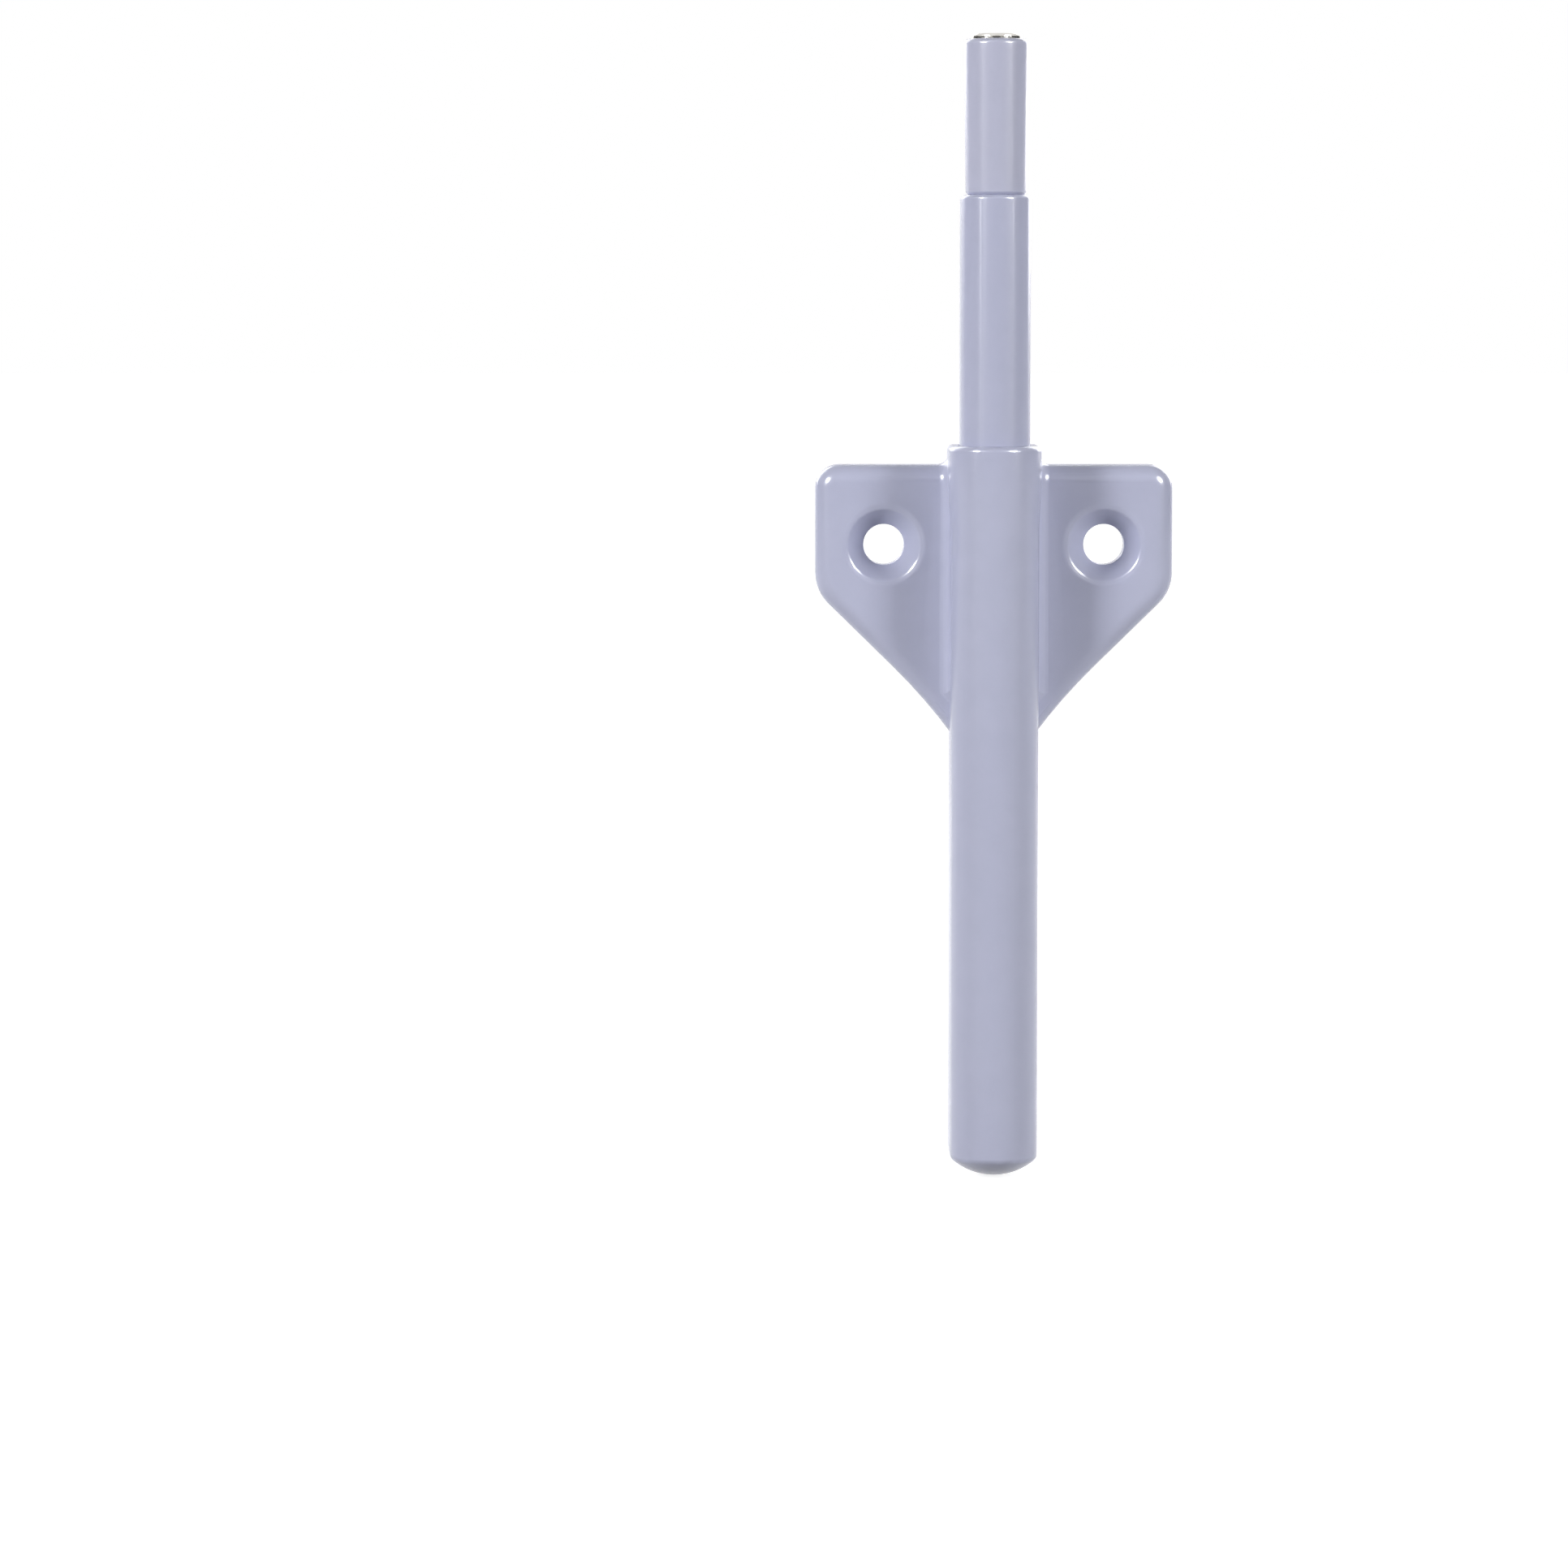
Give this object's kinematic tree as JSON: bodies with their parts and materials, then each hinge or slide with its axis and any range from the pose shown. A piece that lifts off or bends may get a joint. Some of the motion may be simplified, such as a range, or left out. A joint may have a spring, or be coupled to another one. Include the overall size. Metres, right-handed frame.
{
  "type": "door damper",
  "caption": "Winged screw-on casing with a spring-loaded push-push slider, held in by a swinging wire on a cam track, ending in a round head with a magnetic tip.",
  "frame": {"origin": "midway between the two screw holes, on the mounting plane at the back", "axes": "+Z along the slider's travel, out of the casing mouth; +Y out of the back, towards the surface it is screwed to; +X across both screw holes"},
  "size_m": [0.0412, 0.0127, 0.1311],
  "materials": {
    "plastic": "semi-gloss moulded plastic, pale lilac grey",
    "head_plastic": "semi-gloss moulded plastic, pale grey",
    "magnet_nickel": "shiny nickel plating on the magnet",
    "spring_steel": "drawn spring steel"
  },
  "bodies": {
    "casing": {"casing": "plastic", "return_spring": "spring_steel"},
    "slider": {"slider": "plastic", "head": "head_plastic", "magnet": "magnet_nickel"},
    "wire": {"latch_wire": "spring_steel"}
  },
  "joints": [
    {"name": "slider_slide", "type": "slide", "parent": "casing", "child": "slider", "axis": [0, 0, 1], "range_m": [-0.0445, 0], "stiffness_N_per_m": 150, "springref_m": 0.03, "deforming": ["return_spring"]},
    {"name": "wire_swing", "type": "hinge", "parent": "casing", "child": "wire", "pos_m": [0.0013, -0.0026, -0.068], "axis": [0, 1, 0], "range_deg": [-4.9, 0]}
  ]
}
